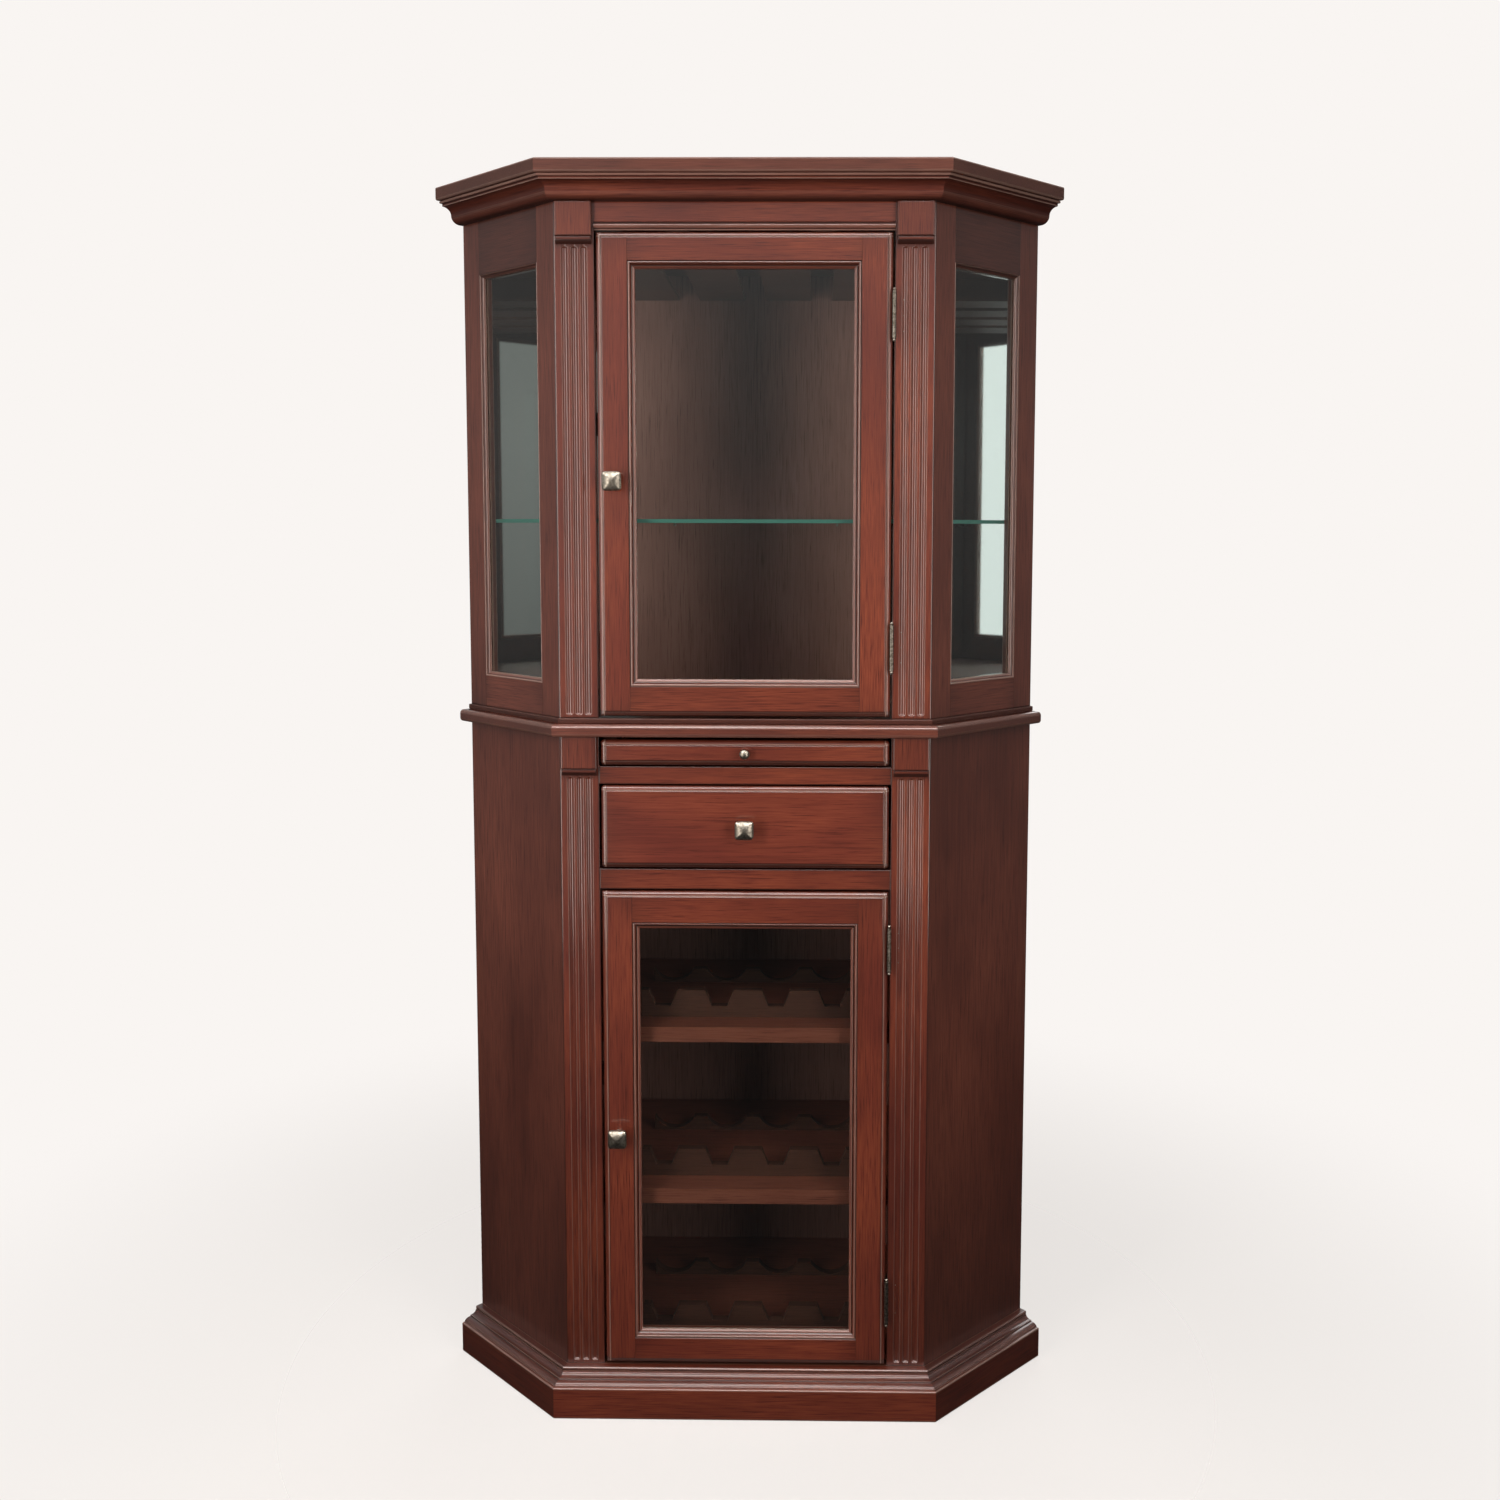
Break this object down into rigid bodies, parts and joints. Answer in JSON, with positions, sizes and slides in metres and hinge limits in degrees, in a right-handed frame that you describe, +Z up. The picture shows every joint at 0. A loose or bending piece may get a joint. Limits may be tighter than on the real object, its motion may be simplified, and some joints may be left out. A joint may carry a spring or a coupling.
{
  "type": "wine curio cabinet",
  "caption": "Tall corner display cabinet with canted glazed sides, glass doors above and below, a drawer, a pull-out serving tray, wine racks, a glass shelf and stemware rails.",
  "frame": {"origin": "on the floor, under the middle of the cabinet's overall width and depth", "axes": "+Z up, +X to the viewer's right, front faces -Y"},
  "size_m": [1.0268, 0.4768, 2],
  "materials": {
    "mahogany_stain": "red-brown mahogany stain, dark glaze in the grooves, edges rubbed light, satin lacquer",
    "inside_stain": "dark brown stain, satin",
    "drawer_wood": "clear lacquered poplar",
    "clear_glass": "polished clear glass",
    "mirror_glass": "silvered glass",
    "knob_nickel": "antiqued satin nickel",
    "hinge_steel": "dark antique plated steel",
    "catch_plastic": "brown moulded plastic"
  },
  "bodies": {
    "cabinet": {"back_centre": "inside_stain", "back_left": "inside_stain", "back_right": "inside_stain", "base_board": "mahogany_stain", "base_cleats": "drawer_wood", "base_moulding": "mahogany_stain", "bottle_cradles": "inside_stain", "capitals": "mahogany_stain", "ceiling_panel": "inside_stain", "crown_moulding": "mahogany_stain", "decks": "drawer_wood", "door_catches": "catch_plastic", "fixed_hinge_halves": "hinge_steel", "floor_panel": "inside_stain", "frieze_rail": "mahogany_stain", "glass_shelf": "clear_glass", "hinge_screws": "hinge_steel", "lower_rails": "mahogany_stain", "lower_side_left": "mahogany_stain", "lower_side_right": "mahogany_stain", "lower_stile_left": "mahogany_stain", "lower_stile_right": "mahogany_stain", "mirrors": "mirror_glass", "neck_boards": "inside_stain", "plinth_boards": "mahogany_stain", "rack_shelves": "inside_stain", "runners_and_kickers": "drawer_wood", "shelf_cleats": "inside_stain", "shelf_pins": "hinge_steel", "side_frame_left": "mahogany_stain", "side_frame_right": "mahogany_stain", "side_glass": "clear_glass", "side_glass_mouldings": "mahogany_stain", "stemware_rails": "inside_stain", "top_board": "mahogany_stain", "upper_floor": "mahogany_stain", "upper_stile_left": "mahogany_stain", "upper_stile_right": "mahogany_stain", "waist_board": "mahogany_stain"},
    "drawer": {"drawer_back": "drawer_wood", "drawer_bottom": "drawer_wood", "drawer_front": "mahogany_stain", "drawer_knob": "knob_nickel", "drawer_sides": "drawer_wood"},
    "lower_door": {"lower_door_frame": "mahogany_stain", "lower_door_glass": "clear_glass", "lower_door_glass_mouldings": "mahogany_stain", "lower_door_hinge_leaves": "hinge_steel", "lower_door_knob": "knob_nickel", "lower_door_strike": "hinge_steel"},
    "serving_tray": {"tray_front": "mahogany_stain", "tray_knob": "knob_nickel", "tray_panel": "mahogany_stain", "tray_rim": "mahogany_stain"},
    "upper_door": {"upper_door_frame": "mahogany_stain", "upper_door_glass": "clear_glass", "upper_door_glass_mouldings": "mahogany_stain", "upper_door_hinge_leaves": "hinge_steel", "upper_door_knob": "knob_nickel", "upper_door_strike": "hinge_steel"}
  },
  "joints": [
    {"name": "upper_door_hinge", "type": "hinge", "parent": "cabinet", "child": "upper_door", "pos_m": [0.23075, -0.19725, 1.524], "axis": [0, 0, 1], "range_deg": [0, 110]},
    {"name": "lower_door_hinge", "type": "hinge", "parent": "cabinet", "child": "lower_door", "pos_m": [0.23075, -0.19725, 0.471], "axis": [0, 0, 1], "range_deg": [0, 110]},
    {"name": "drawer_slide", "type": "slide", "parent": "cabinet", "child": "drawer", "axis": [0, -1, 0], "range_m": [0, 0.28]},
    {"name": "tray_slide", "type": "slide", "parent": "cabinet", "child": "serving_tray", "axis": [0, -1, 0], "range_m": [0, 0.26]}
  ]
}
